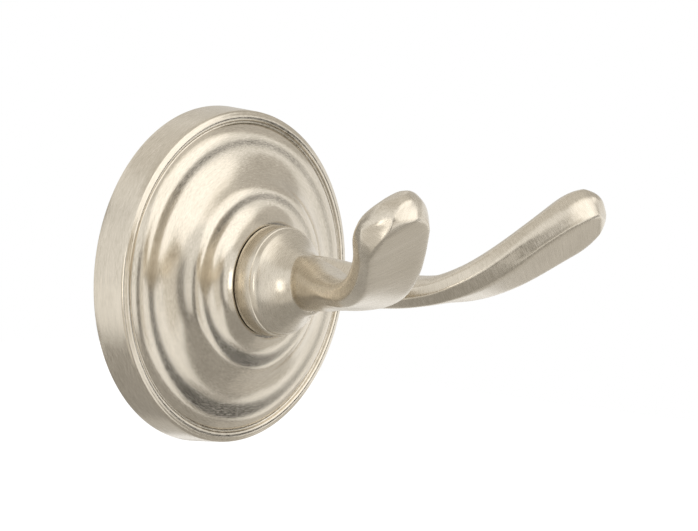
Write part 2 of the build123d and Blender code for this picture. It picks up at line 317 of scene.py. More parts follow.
def soften_seams(made: bpy.types.Object, low: float, high: float, reach: float, rounds: int) -> None:
    """Round off the seams that a Boolean leaves, as a casting has them.

    Args:
        made: the joined piece, in metres.
        low: nearest distance from the wall of the part that is softened, in millimetres.
        high: furthest distance from the wall.
        reach: how far from a seam its surface moves, in millimetres.
        rounds: how many times the surface is smoothed.
    """
    shape = bmesh.new()
    shape.from_mesh(made.data)
    near = [face for face in shape.faces if low < -face.calc_center_median().y / MM < high]
    bmesh.ops.triangulate(shape, faces=near)
    for longest in SEAM_EDGES:
        edges = [
            edge
            for edge in shape.edges
            if low < -edge.verts[0].co.y / MM < high and edge.calc_length() > longest * MM
        ]
        bmesh.ops.subdivide_edges(shape, edges=edges, cuts=1)
        near = [face for face in shape.faces if low - 1 < -face.calc_center_median().y / MM < high + 1]
        bmesh.ops.triangulate(shape, faces=near)
    turned = {
        edge
        for edge in shape.edges
        if low < -edge.verts[0].co.y / MM < high and edge.calc_face_angle(0.0) > math.radians(SEAM_TURN)
    }
    seam = [vert for vert in shape.verts if any(edge in turned for edge in vert.link_edges)]
    tree = KDTree(len(seam))
    for number, vert in enumerate(seam):
        tree.insert(vert.co, number)
    tree.balance()
    moved = [
        vert
        for vert in shape.verts
        if low < -vert.co.y / MM < high and seam and tree.find(vert.co)[2] < reach * MM
    ]
    LOG.info("%s: %d points softened along its seams", made.name, len(moved))
    for _ in range(rounds):
        bmesh.ops.smooth_vert(shape, verts=moved, factor=0.5, use_axis_x=True, use_axis_y=True, use_axis_z=True)
    shape.to_mesh(made.data)
    shape.free()
    made.data.shade_smooth()


class NodeBench:
    """Short ways to lay out the nodes of a material or a world."""

    # A Mix node's colour sockets stand after those for plain numbers and vectors.
    FIRST_COLOUR, SECOND_COLOUR, MIXED_COLOUR = 6, 7, 2

    def __init__(self, owner: bpy.types.ID) -> None:
        """Start with an empty tree.

        Args:
            owner: the new material or world that the nodes belong to.
        """
        self.owner = owner
        self.owner.use_nodes = True
        self.tree = self.owner.node_tree
        self.tree.nodes.clear()
        self.column = 0

    def add(self, kind: str, label: str, **settings: object) -> bpy.types.Node:
        """Add a node, labelled and placed to the right of the last one."""
        node = self.tree.nodes.new(kind)
        node.label = label
        node.location = (self.column * 190 - 1200, -(self.column % 3) * 180)
        self.column += 1
        for key, value in settings.items():
            setattr(node, key, value)
        return node

    def link(self, source: bpy.types.NodeSocket, target: bpy.types.NodeSocket) -> None:
        """Join two sockets."""
        self.tree.links.new(source, target)

    def math(self, label: str, operation: str, first: object, second: object = None) -> bpy.types.NodeSocket:
        """Math node fed by sockets or plain numbers.

        Args:
            label: what the node works out.
            operation: the node's operation.
            first: a socket or a number.
            second: a socket or a number, where the operation takes two.

        Returns:
            The node's output.
        """
        node = self.add("ShaderNodeMath", label, operation=operation)
        for socket, value in zip(node.inputs, (first, second)):
            if isinstance(value, bpy.types.NodeSocket):
                self.link(value, socket)
            elif value is not None:
                socket.default_value = value
        return node.outputs[0]

    def noise(self, label: str, vector: bpy.types.NodeSocket, scale: float, detail: float) -> bpy.types.NodeSocket:
        """Noise texture's value on a vector."""
        node = self.add("ShaderNodeTexNoise", label)
        node.inputs["Scale"].default_value = scale
        node.inputs["Detail"].default_value = detail
        node.inputs["Roughness"].default_value = NOISE_ROUGHNESS
        self.link(vector, node.inputs["Vector"])
        return node.outputs[0]

    def ramp(self, label: str, value: bpy.types.NodeSocket, low: float, high: float) -> bpy.types.NodeSocket:
        """Map the middle of a noise to a range of numbers."""
        node = self.add("ShaderNodeMapRange", label)
        node.inputs["From Min"].default_value = NOISE_MIDDLE[0]
        node.inputs["From Max"].default_value = NOISE_MIDDLE[1]
        node.inputs["To Min"].default_value = low
        node.inputs["To Max"].default_value = high
        self.link(value, node.inputs["Value"])
        return node.outputs[0]

    def mix(self, label: str, share: bpy.types.NodeSocket, first: Triple, second: Triple) -> bpy.types.NodeSocket:
        """Mix two colours by a share."""
        node = self.add("ShaderNodeMix", label, data_type="RGBA")
        node.inputs[self.FIRST_COLOUR].default_value = (*first, 1.0)
        node.inputs[self.SECOND_COLOUR].default_value = (*second, 1.0)
        self.link(share, node.inputs[0])
        return node.outputs[self.MIXED_COLOUR]

    def glow(self, label: str, kind: str, colour: Triple, strength: object) -> bpy.types.NodeSocket:
        """Emission or background of a plain colour, its strength a number or a socket."""
        node = self.add(kind, label)
        node.inputs["Color"].default_value = (*colour, 1.0)
        if isinstance(strength, bpy.types.NodeSocket):
            self.link(strength, node.inputs["Strength"])
        else:
            node.inputs["Strength"].default_value = strength
        return node.outputs[0]

    def finish(self, surface: bpy.types.NodeSocket) -> None:
        """Join the last shader to the output of the material or the world."""
        kind = "ShaderNodeOutputWorld" if isinstance(self.owner, bpy.types.World) else "ShaderNodeOutputMaterial"
        self.link(surface, self.add(kind, "out").inputs[0])

    def metal(self) -> bpy.types.Node:
        """Principled shader of bare metal, joined to the material's output."""
        node = self.add("ShaderNodeBsdfPrincipled", "surface")
        node.inputs["Metallic"].default_value = 1.0
        self.finish(node.outputs[0])
        return node

    def bump(self, label: str, height: bpy.types.NodeSocket, strength: float, distance: float) -> bpy.types.NodeSocket:
        """Normals raised by a height, its distance in millimetres."""
        node = self.add("ShaderNodeBump", label)
        node.inputs["Strength"].default_value = strength
        node.inputs["Distance"].default_value = distance * MM
        self.link(height, node.inputs["Height"])
        return node.outputs[0]

    def seen(self) -> bpy.types.NodeSocket:
        """Share of rays that look at the surroundings: from the eye, a gloss or a glass."""
        path = self.add("ShaderNodeLightPath", "rays")
        both = self.math("eye or gloss", "ADD", path.outputs["Is Camera Ray"], path.outputs["Is Glossy Ray"])
        return self.math("or glass", "MINIMUM", self.math("all", "ADD", both, path.outputs["Is Transmission Ray"]), 1.0)


@dataclass(frozen=True)
class SatinNickel:
    """Warm satin nickel, brushed by hand and lacquered.

    Attributes:
        light: colour on the crests of the brushing.
        deep: colour in its furrows and where the plating runs a little darker.
        sheen: lowest and highest roughness along the brushing.
        furrow: height of the brush marks, in millimetres.
        marks: how many fine and how many broad marks lie side by side in a millimetre.
        clouds: how many cloudy patches lie in a metre.
        drawn_straight: how far a mark that follows a map is drawn out, as a share of its width's scale.
        drawn_turned: the same for a mark that runs round the axis, for each radian.
    """

    light: Triple = (0.765, 0.697, 0.588)
    deep: Triple = (0.57, 0.514, 0.42)
    sheen: Point = (0.23, 0.33)
    furrow: float = 0.02
    marks: Point = (5.0, 1.1)
    clouds: float = 95.0
    drawn_straight: float = 0.12
    drawn_turned: float = 4.5

    def brush_vector(self, bench: NodeBench, grain: Grain) -> bpy.types.NodeSocket:
        """Coordinates in millimetres, drawn out along the brush marks.

        Args:
            bench: the material being laid out.
            grain: which way the marks run.

        Returns:
            A vector whose first part runs across the marks and whose second runs along them.
        """
        place = bench.add("ShaderNodeTexCoord", "place")
        joined = bench.add("ShaderNodeCombineXYZ", "brush place")
        if grain is Grain.ALONG_UV:
            split = bench.add("ShaderNodeSeparateXYZ", "map parts")
            bench.link(place.outputs["UV"], split.inputs[0])
            bench.link(split.outputs["Y"], joined.inputs["X"])
            drawn = bench.math("drawn out", "MULTIPLY", split.outputs["X"], self.drawn_straight)
            bench.link(drawn, joined.inputs["Y"])
            return joined.outputs[0]
        split = bench.add("ShaderNodeSeparateXYZ", "place parts")
        bench.link(place.outputs["Object"], split.inputs[0])
        x, y, z = split.outputs
        sides = bench.math("x2", "MULTIPLY", x, x), bench.math("z2", "MULTIPLY", z, z)
        square = bench.math("radius squared", "ADD", *sides)
        radius = bench.math("radius in mm", "MULTIPLY", bench.math("radius", "SQRT", square), 1 / MM)
        depth = bench.math("depth in mm", "MULTIPLY", y, 1 / MM)
        angle = bench.math("turn", "ARCTAN2", x, z)
        across = bench.math("across", "ADD", radius, depth)
        bench.link(across, joined.inputs["X"])
        bench.link(bench.math("drawn out", "MULTIPLY", angle, self.drawn_turned), joined.inputs["Y"])
        return joined.outputs[0]

    def material(self, name: str, grain: Grain) -> bpy.types.Material:
        """Material with brushing, a soft change of tone and a fine bump.

        Args:
            name: the material's name.
            grain: which way the brushing runs.

        Returns:
            The material.
        """
        bench = NodeBench(bpy.data.materials.new(name))
        marks = self.brush_vector(bench, grain)
        fine = bench.noise("fine brushing", marks, self.marks[0], 4.0)
        broad = bench.noise("broad brushing", marks, self.marks[1], 3.0)
        place = bench.add("ShaderNodeTexCoord", "cloud place")
        cloud = bench.noise("cloudy plating", place.outputs["Object"], self.clouds, 3.0)
        light_marks = bench.ramp("fine marks", fine, -0.3, 0.55), bench.ramp("broad marks", broad, -0.12, 0.2)
        marked = bench.math("marks", "ADD", *light_marks)
        tone = bench.math("tone", "ADD", bench.ramp("cloud", cloud, 0.2, 0.6), marked)
        surface = bench.metal()
        bench.link(bench.mix("colour", tone, self.deep, self.light), surface.inputs["Base Color"])
        rough = bench.math(
            "roughness",
            "ADD",
            bench.ramp("fine roughness", fine, self.sheen[0], self.sheen[1]),
            bench.ramp("cloudy roughness", cloud, -0.02, 0.02),
        )
        bench.link(rough, surface.inputs["Roughness"])
        height = bench.math("height", "ADD", fine, bench.math("broad share", "MULTIPLY", broad, 0.8))
        bench.link(bench.bump("brush marks", height, 0.25, self.furrow), surface.inputs["Normal"])
        return bench.owner


@dataclass(frozen=True)
class PlainSteel:
    """Plated or blackened steel of the hidden fixings.

    Attributes:
        light: colour of the lighter patches.
        deep: colour of the darker ones.
        sheen: lowest and highest roughness.
        grain_size: how many patches lie in a metre.
    """

    light: Triple
    deep: Triple
    sheen: Point
    grain_size: float

    def material(self, name: str) -> bpy.types.Material:
        """Material with the plating's fine grain."""
        bench = NodeBench(bpy.data.materials.new(name))
        place = bench.add("ShaderNodeTexCoord", "place")
        patch = bench.noise("plating", place.outputs["Object"], self.grain_size, 4.0)
        fine = bench.noise("fine grain", place.outputs["Object"], self.grain_size * 9, 2.0)
        surface = bench.metal()
        colour = bench.mix("colour", bench.ramp("tone", patch, 0, 1), self.deep, self.light)
        bench.link(colour, surface.inputs["Base Color"])
        bench.link(bench.ramp("roughness", patch, self.sheen[0], self.sheen[1]), surface.inputs["Roughness"])
        bench.link(bench.bump("grain", fine, 0.2, 0.02), surface.inputs["Normal"])
        return bench.owner


@dataclass
class Rosette:
    """Moulded cover: a drum, a rim bead, an ogee between two rings and the seat of the post.

    Radii and distances from the wall are in millimetres, from the outer edge inwards.

    Attributes:
        drum: front edge of the drum, which narrows evenly from the wall.
        drum_edge: crest of the soft edge between drum and rim.
        slopes: radius and slope in degrees down the swept face, from its outer ring to the seat.
        ring_foot: outer face above the first arc of the hollow behind; sweep_top and inner_ring
            are the same for the next two.
        hollow_corner: distance from the wall at which the hollow's arcs begin.
        wall: thickness of the drum's wall, and moulding_wall that of the face.
        lug: width, inner height and depth of the lug above the bracket.
        lug_inset: how far the lug stays inside the drum.
        lug_bevel: where the plane of the lug's bevel meets its inner height, from the wall.
        boss: width, height below the middle and depth of the set screw's boss.
        boss_inset: how far the boss stays inside the drum.
        rear_gap: how far lug and boss stay off the wall.
        set_screw: radius of the set screw's hole, its distance from the wall and its cutter's length.
    """

    radius: float = 35.0
    drum: Point = (34.4, 6.95)
    drum_edge: Point = (34.21, 7.41)
    rim_start: Point = (33.74, 7.61)
    rim_crest: Point = (33.09, 7.83)
    groove_mouth: Point = (32.44, 7.71)
    groove_floor: Point = (32.09, 7.31)
    outer_ring: Point = (31.74, 7.41)
    slopes: tuple[Point, ...] = (
        (31.74, 50.0), (31.3, 41.0), (30.9, 34.0), (30.5, 28.0), (30.1, 21.0), (29.7, 15.5), (29.3, 10.0),
        (28.9, 6.0), (28.5, 3.0), (28.1, 2.0), (27.7, 2.0), (27.3, 3.0), (26.9, 4.5), (26.5, 7.0),
        (26.1, 10.5), (25.3, 15.5), (24.5, 19.5), (23.7, 23.0), (22.9, 27.0), (22.1, 31.0), (21.3, 36.0),
        (20.9, 39.0), (20.5, 41.0), (20.1, 41.5), (19.7, 38.0), (19.3, 31.0), (18.9, 24.0), (18.5, 17.0),
        (18.1, 10.0), (17.7, 5.0), (17.3, 3.0), (16.9, 3.0), (16.5, 4.0), (16.1, 6.0), (15.7, 9.0),
        (15.3, 14.0), (14.9, 18.0), (14.5, 21.0), (14.1, 25.0), (13.7, 29.0), (13.3, 34.0), (12.9, 40.0),
        (12.5, 47.0), (12.1, 56.0), (11.85, 62.0),
    )
    ring_foot: Point = (28.99, 8.55)
    sweep_top: Point = (19.84, 12.02)
    inner_ring: Point = (17.79, 12.79)
    seat: Point = (11.85, 16.2)
    wall: float = 2.0
    moulding_wall: float = 1.9
    hollow_corner: float = 4.47
    roof: float = 13.2
    spigot_radius: float = 5.1
    spigot_flat: float = 4.3
    lug: Triple = (16.0, 20.1, 5.0)
    lug_inset: float = 1.7
    lug_bevel: float = 0.76
    boss: Triple = (9.0, 23.3, 6.0)
    boss_inset: float = 1.0
    rear_gap: float = 0.4
    set_screw: Triple = (2.1, 3.3, 30.0)
    steps: int = 240

    def mouldings(self, first: float, points: list[Point], counts: list[int]) -> list[Point]:
        """Arcs that run smoothly into one another.

        Args:
            first: slope in degrees at which the first arc leaves, measured from the inward radius.
            points: where the arcs meet, from the first one's start.
            counts: how many chords each arc takes.

        Returns:
            The points after the start.
        """
        slope = math.pi - math.radians(first)
        made: list[Point] = []
        for start, end, count in zip(points, points[1:], counts):
            arc, slope = arc_from(start, slope, end, count)
            made += arc
        return made

    def bead(self, start: Point, crest: Point, end: Point, count: int) -> list[Point]:
        """Short curve through a crest, drawn as a quadratic."""
        control = tuple(2 * c - (s + e) / 2 for s, c, e in zip(start, crest, end))
        made = []
        for i in range(1, count + 1):
            t = i / count
            weights = ((1 - t) ** 2, 2 * t * (1 - t), t * t)
            made.append(tuple(sum(w * p[k] for w, p in zip(weights, (start, control, end))) for k in (0, 1)))
        return made

    def outside(self) -> list[Point]:
        """Outline of the visible side, from the wall to the seat."""
        points = [(self.radius, 0.0), (self.radius, 0.05)]
        narrowing = self.radius - self.drum[0]
        points += [(self.radius - narrowing * i / 6, self.drum[1] * i / 6) for i in range(1, 7)]
        points += self.bead(self.drum, self.drum_edge, self.rim_start, 6)
        points += self.bead(self.rim_start, self.rim_crest, self.groove_mouth, 10)
        points += self.bead(self.groove_mouth, self.groove_floor, self.outer_ring, 8)
        return points + self.swept_face()

    def swept_face(self) -> list[Point]:
        """The rings and hollows of the face, added up from their slopes."""
        table = np.array(self.slopes)[::-1]
        radius = np.linspace(self.outer_ring[0], self.seat[0], 161)
        slope = smooth_between(table[:, 0], table[:, 1:], radius)[:, 0]
        rise = np.tan(np.radians(slope))
        steps = (rise[1:] + rise[:-1]) / 2 * -np.diff(radius)
        depth = np.concatenate([[0.0], np.cumsum(steps)])
        LOG.info("rosette's face rises %.2f mm before it is brought to the seat", depth[-1])
        depth *= (self.seat[1] - self.outer_ring[1]) / depth[-1]
        return [(float(r), float(self.outer_ring[1] + d)) for r, d in zip(radius[1:], depth[1:])]

    def inside(self) -> list[Point]:
        """Outline of the hollow behind, from the middle to the wall."""
        drop = self.moulding_wall
        foot = (self.ring_foot[0], self.ring_foot[1] - drop)
        top = (self.sweep_top[0], self.sweep_top[1] - drop)
        second = (self.inner_ring[0], self.inner_ring[1] - drop)
        points = [(self.radius - self.wall, 0.0), (self.outer_ring[0], self.hollow_corner), foot]
        points += self.mouldings(-6.0, [foot, top, second, (self.seat[0], self.roof)], [16, 8, 12])
        points.append((0.0, self.roof))
        return points[::-1]

    def block(self, width: float, low: float, high: float, near: float, far: float) -> bmesh.types.BMesh:
        """Cast block between two heights and two distances from the wall."""
        shape = bmesh.new()
        bmesh.ops.create_cube(shape, size=1.0)
        bmesh.ops.scale(shape, vec=(width, far - near, high - low), verts=shape.verts)
        bmesh.ops.translate(shape, vec=(0, -(near + far) / 2, (low + high) / 2), verts=shape.verts)
        return shape

    def lug_block(self) -> bmesh.types.BMesh:
        """Lug that hooks behind the bracket's upper bevel."""
        width, inner, depth = self.lug
        shape = self.block(width, inner, self.radius - self.lug_inset, self.rear_gap, depth)
        bmesh.ops.bisect_plane(
            shape,
            geom=shape.verts[:] + shape.edges[:] + shape.faces[:],
            plane_co=(0, -self.lug_bevel, inner),
            plane_no=(0, -1, -1),
            clear_outer=True,
        )
        rim = [edge for edge in shape.edges if edge.is_boundary]
        bmesh.ops.edgeloop_fill(shape, edges=rim)
        bmesh.ops.recalc_face_normals(shape, faces=shape.faces)
        return shape

    def spigot_hole(self) -> bmesh.types.BMesh:
        """Round hole with two flats that takes the post's spigot."""
        return flatted_peg(self.spigot_radius, self.spigot_flat, self.roof - 1, self.seat[1] + 1)

    def set_screw_hole(self) -> bmesh.types.BMesh:
        """Hole through the rim and the boss for the set screw."""
        radius, depth, length = self.set_screw
        shape = bmesh.new()
        bmesh.ops.create_cone(shape, cap_ends=True, segments=48, radius1=radius, radius2=radius, depth=length)
        bmesh.ops.translate(shape, vec=(0, -depth, -self.radius), verts=shape.verts)
        return shape

    def build(self, finish: SatinNickel) -> bpy.types.Object:
        """Make the cover, give it its finish and put it in place of the CAD node.

        Args:
            finish: the plating.

        Returns:
            The finished piece.
        """
        outline = self.outside() + [(0.0, self.seat[1])]
        shell = spun([*outline, *self.inside(), outline[0]], self.steps)
        width, top, depth = self.boss
        boss = self.block(width, self.boss_inset - self.radius, -top, self.rear_gap, depth)
        steps = [
            (self.lug_block(), "UNION"),
            (boss, "UNION"),
            (self.spigot_hole(), "DIFFERENCE"),
            (self.set_screw_hole(), "DIFFERENCE"),
        ]
        made = joined_by_boolean("rosette_cover", shell, steps, 28.0)
        made.data.materials.clear()
        made.data.materials.append(finish.material("satin_nickel_turned", Grain.TURNED))
        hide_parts("rosette")
        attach(made, "root")
        return made


# Outlines of an arm's section: across and up as shares of its half sizes, and the corner's softness.
NECK: tuple[Triple, ...] = (
    (0.414, -0.999, 0.9), (0.999, -0.414, 0.9), (0.999, 0.414, 0.9), (0.414, 0.999, 0.9),
    (-0.414, 0.999, 0.9), (-0.999, 0.414, 0.9), (-0.999, -0.414, 0.9), (-0.414, -0.999, 0.9),
)
STEM: tuple[Triple, ...] = (
    (0.77, -0.88, 0.35), (1.0, -0.35, 0.3), (0.93, 0.62, 0.6), (0.56, 1.0, 0.8),
    (-0.56, 1.0, 0.8), (-0.93, 0.58, 0.5), (-1.0, -0.18, 0.3), (-0.66, -0.92, 0.4),
)
BLADE: tuple[Triple, ...] = (
    (0.92, -0.66, 0.35), (1.0, -0.16, 0.3), (0.94, 0.6, 0.6), (0.58, 1.0, 0.8),
    (-0.56, 1.0, 0.8), (-0.94, 0.52, 0.5), (-0.97, -0.1, 0.8), (-0.72, -0.9, 0.3),
)
LOBE: tuple[Triple, ...] = (
    (0.73, -0.88, 0.3), (0.97, 0.3, 0.5), (0.92, 0.67, 0.6), (0.6, 1.0, 0.8),
    (-0.58, 1.0, 0.8), (-0.94, 0.6, 0.6), (-0.92, -0.1, 0.6), (-0.5, -0.98, 0.3),
)
END: tuple[Triple, ...] = (
    (0.36, -0.95, 0.3), (0.98, -0.3, 0.8), (0.95, 0.4, 0.8), (0.36, 1.0, 0.4),
    (0.16, 1.0, 0.4), (-0.98, 0.4, 0.8), (-0.98, -0.3, 0.8), (0.18, -0.95, 0.3),
)


@dataclass
class Arm:
    """One arm: a stem that widens into an upturned, rolled blade with a two-faced end.

    Attributes:
        spine: points that the middle of the arm passes through.
        blade: half the blade's width and half its thickness.
        stations: share of the length, shares of the half width and the half thickness, roll in
            degrees, and which of the outlines the section has, from NECK at 0 to END at 4.
        end_start: share at which the rounded end begins.
        end_power: how full the end's outline is, from 2 for an ellipse.
        end_thinning: how fast the end thins compared with how it narrows.
        curve_points: points on each corner of a section, and flat_points those between corners.
        map_size: size of the brushing's map, round the arm and along it.
        side: 1 for the right arm and -1 for the left one.
    """

    spine: tuple[Triple, ...] = (
        (0.676, -22.344, 0.0), (2.197, -28.990, 0.307), (7.368, -40.461, -0.250),
        (13.926, -54.504, 1.690), (23.390, -66.296, 10.349), (33.868, -74.068, 18.912),
    )
    blade: Point = (8.0, 3.85)
    stations: tuple[tuple[float, ...], ...] = (
        (0.0000, 0.545, 1.520, 0.0, 0.00),
        (0.1000, 0.545, 1.403, 0.0, 0.00),
        (0.2000, 0.600, 1.195, 4.0, 0.00),
        (0.3000, 0.713, 0.883, 8.0, 0.50),
        (0.4100, 0.881, 0.779, 2.0, 1.00),
        (0.5300, 1.000, 0.849, -10.0, 1.00),
        (0.6600, 1.000, 0.930, -24.0, 1.15),
        (0.7800, 1.000, 1.000, -35.0, 1.90),
        (0.8500, 1.015, 1.075, -38.2, 2.00),
        (0.8980, 1.034, 1.137, -40.0, 2.20),
        (0.9340, 1.050, 1.175, -40.9, 2.55),
        (0.9635, 1.063, 1.212, -41.6, 3.10),
        (0.9825, 1.071, 1.245, -42.0, 3.70),
        (0.9927, 1.076, 1.265, -42.3, 3.93),
        (1.0000, 1.084, 1.285, -42.5, 4.00),
    )
    end_start: float = 0.854
    end_power: float = 2.2
    end_thinning: float = 0.8
    curve_points: int = 6
    flat_points: int = 2
    map_size: Point = (40.0, 68.2)
    side: int = 1

    def outline(self, form: float, half_width: float, half_thickness: float) -> np.ndarray:
        """Rounded polygon of one section.

        Args:
            form: which outline, from NECK at 0 to END at 4, or between two of them.
            half_width: half the section's width.
            half_thickness: half its thickness.

        Returns:
            Points as (across, up), in order round the section.
        """
        forms = np.array([NECK, STEM, BLADE, LOBE, END])
        low = min(int(form), len(forms) - 2)
        table = forms[low] + (forms[low + 1] - forms[low]) * (form - low)
        corner = table[:, :2] * (half_width, half_thickness)
        soft = table[:, 2:] / 2
        before = np.roll(corner, 1, axis=0)
        after = np.roll(corner, -1, axis=0)
        start = corner + (before - corner) * soft
        end = corner + (after - corner) * soft
        following = np.roll(start, -1, axis=0)
        ring = []
        for k in range(len(corner)):
            for t in np.linspace(0, 1, self.curve_points):
                ring.append((1 - t) ** 2 * start[k] + 2 * t * (1 - t) * corner[k] + t * t * end[k])
            for t in np.arange(1, self.flat_points + 1) / (self.flat_points + 1):
                ring.append(end[k] + (following[k] - end[k]) * t)
        return np.array(ring)

    def sections(self) -> tuple[list[np.ndarray], np.ndarray, np.ndarray]:
        """All the sections in place, the tip's point and the shares."""
        table = np.array(self.stations)
        body = np.linspace(0, self.end_start, 81)[:-1]
        end = 1 - (1 - self.end_start) * np.linspace(1, 0, 44)[:-1] ** 2
        share = np.concatenate([body, end])
        size = smooth_between(table[:, 0], table[:, 1:], share)
        place, along = cubic_through(np.array(self.spine), share)
        rings = []
        for k, t in enumerate(share):
            half_width, half_thickness, roll, form = size[k]
            into = max(0.0, (t - self.end_start) / (1 - self.end_start))
            rounding = (1 - into**self.end_power) ** (1 / self.end_power)
            half_width *= self.blade[0] * rounding
            half_thickness *= self.blade[1] * rounding**self.end_thinning
            flat = self.outline(form, half_width, half_thickness)
            level = np.cross((0, 0, 1), along[k])
            level /= np.linalg.norm(level)
            raised = np.cross(along[k], level)
            turn = math.radians(roll)
            across = math.cos(turn) * level + math.sin(turn) * raised
            upward = math.cos(turn) * raised - math.sin(turn) * level
            rings.append(place[k] + flat[:, :1] * across + flat[:, 1:] * upward)
        tip, _ = cubic_through(np.array(self.spine), np.array([1.0]))
        return rings, tip[0], share

    def mesh(self) -> bmesh.types.BMesh:
        """Closed shell of the arm, with a map that runs along it."""
        rings, tip, share = self.sections()
        shape = bmesh.new()
        mapping = shape.loops.layers.uv.new(BRUSHING)
        loops = []
        count = len(rings[0])
        for ring in rings:
            made = bmesh.ops.create_circle(shape, cap_ends=False, segments=count, radius=1.0)["verts"]
            for vert, place in zip(made, ring):
                vert.co = Vector(place)
            loops.append(made)
        around = [
            [shape.edges.get((loop[k], loop[(k + 1) % count])) for k in range(count)] for loop in loops
        ]
        for first, second in zip(around, around[1:]):
            bmesh.ops.bridge_loops(shape, edges=first + second)
        point = shape.verts.new(Vector(tip))
        for k in range(count):
            shape.faces.new((loops[-1][k], loops[-1][(k + 1) % count], point))
        bmesh.ops.edgeloop_fill(shape, edges=around[0])
        if self.side < 0:
            bmesh.ops.scale(shape, vec=(-1, 1, 1), verts=shape.verts)
        bmesh.ops.recalc_face_normals(shape, faces=shape.faces)
        row = {vert: k for k, loop in enumerate(loops) for vert in loop}
        column = {vert: k for loop in loops for k, vert in enumerate(loop)}
        for face in shape.faces:
            columns = [column.get(loop.vert, 0) for loop in face.loops]
            wrap = max(columns) - min(columns) > count / 2
            for loop in face.loops:
                k = column.get(loop.vert, 0)
                k += count if wrap and k < count / 2 else 0
                at = share[row[loop.vert]] if loop.vert in row else 1.0
                loop[mapping].uv = (k / count * self.map_size[0], at * self.map_size[1])
        return shape


@dataclass
class Post:
    """Collar and bell that carry the arms, with the spigot behind.

    Attributes:
        seat: distance from the wall at which the collar sits.
        collar_taper: how much narrower the collar is in front, and collar_edge its bevel.
        shadow_gap: length and depth of the undercut where the collar meets the rosette.
        bell_tilt: how far the bell's small end leans back, in degrees.
        bell: share of the bell's length, share of the way from the end radius to the foot radius,
            and share of the tilt, for each ring.
        spigot_flat: distance of the spigot's flats from the axis.
        spigot_start: distance of its end from the wall.
        steps: how many steps a full turn takes.
    """

    seat: float = 16.2
    collar_radius: float = 11.4
    collar_length: float = 4.0
    collar_taper: float = 0.2
    collar_edge: float = 0.3
    shadow_gap: Point = (0.24, 0.7)
    bell_length: float = 6.8
    bell_end_radius: float = 6.1
    bell_tilt: float = 9.0
    bell: tuple[Triple, ...] = (
        (0.00, 1.00, 0.0), (0.11, 0.94, 0.1), (0.22, 0.77, 0.2), (0.41, 0.50, 0.4),
        (0.63, 0.25, 0.6), (0.85, 0.08, 0.8), (1.00, 0.00, 1.0),
    )
    spigot_radius: float = 5.0
    spigot_flat: float = 4.2
    spigot_start: float = 13.6
    steps: int = 192

    def collar(self) -> bmesh.types.BMesh:
        """Turned collar with a fine bevel at both edges."""
        front = self.seat + self.collar_length
        small = self.collar_radius - self.collar_taper
        edge = self.collar_edge
        neck = self.collar_radius - self.shadow_gap[1]
        profile = [
            (0.0, self.seat),
            (neck, self.seat),
            (neck, self.seat + self.shadow_gap[0]),
            (self.collar_radius - edge * 0.3, self.seat + self.shadow_gap[0]),
            (self.collar_radius, self.seat + edge * 1.6),
            (small + 0.1, front - edge * 2),
            (small, front - edge),
            (small - edge * 0.3, front - edge * 0.3),
            (small - edge, front),
            (0.0, front),
        ]
        return map_round(spun(profile, self.steps))

    def bell_mesh(self) -> bmesh.types.BMesh:
        """Bell of rings that shrink towards the neck and lean back at the top."""
        table = np.array(self.bell)
        along = np.linspace(0, 1, 33)
        size = smooth_between(table[:, 0], table[:, 1:], along)
        foot = self.collar_radius - self.collar_taper - self.collar_edge
        start = self.seat + self.collar_length
        shape = bmesh.new()
        rings = []
        for share, (grown, lean) in zip(along, size):
            radius = self.bell_end_radius + (foot - self.bell_end_radius) * grown
            made = bmesh.ops.create_circle(shape, cap_ends=False, segments=self.steps, radius=radius)["verts"]
            turn = Matrix.Rotation(math.radians(90 - lean * self.bell_tilt), 3, "X")
            bmesh.ops.rotate(shape, matrix=turn, verts=made)
            bmesh.ops.translate(shape, vec=(0, -(start - 0.02 + share * self.bell_length), 0), verts=made)
            rings.append([shape.edges.get((made[k], made[(k + 1) % self.steps])) for k in range(self.steps)])
        for first, second in zip(rings, rings[1:]):
            bmesh.ops.bridge_loops(shape, edges=first + second)
        bmesh.ops.edgeloop_fill(shape, edges=rings[0])
        bmesh.ops.edgeloop_fill(shape, edges=rings[-1])
        bmesh.ops.recalc_face_normals(shape, faces=shape.faces)
        return map_round(shape)

    def spigot(self) -> bmesh.types.BMesh:
        """Round spigot with two flats behind the collar."""
        return map_round(flatted_peg(self.spigot_radius, self.spigot_flat, self.spigot_start, self.seat + 1))


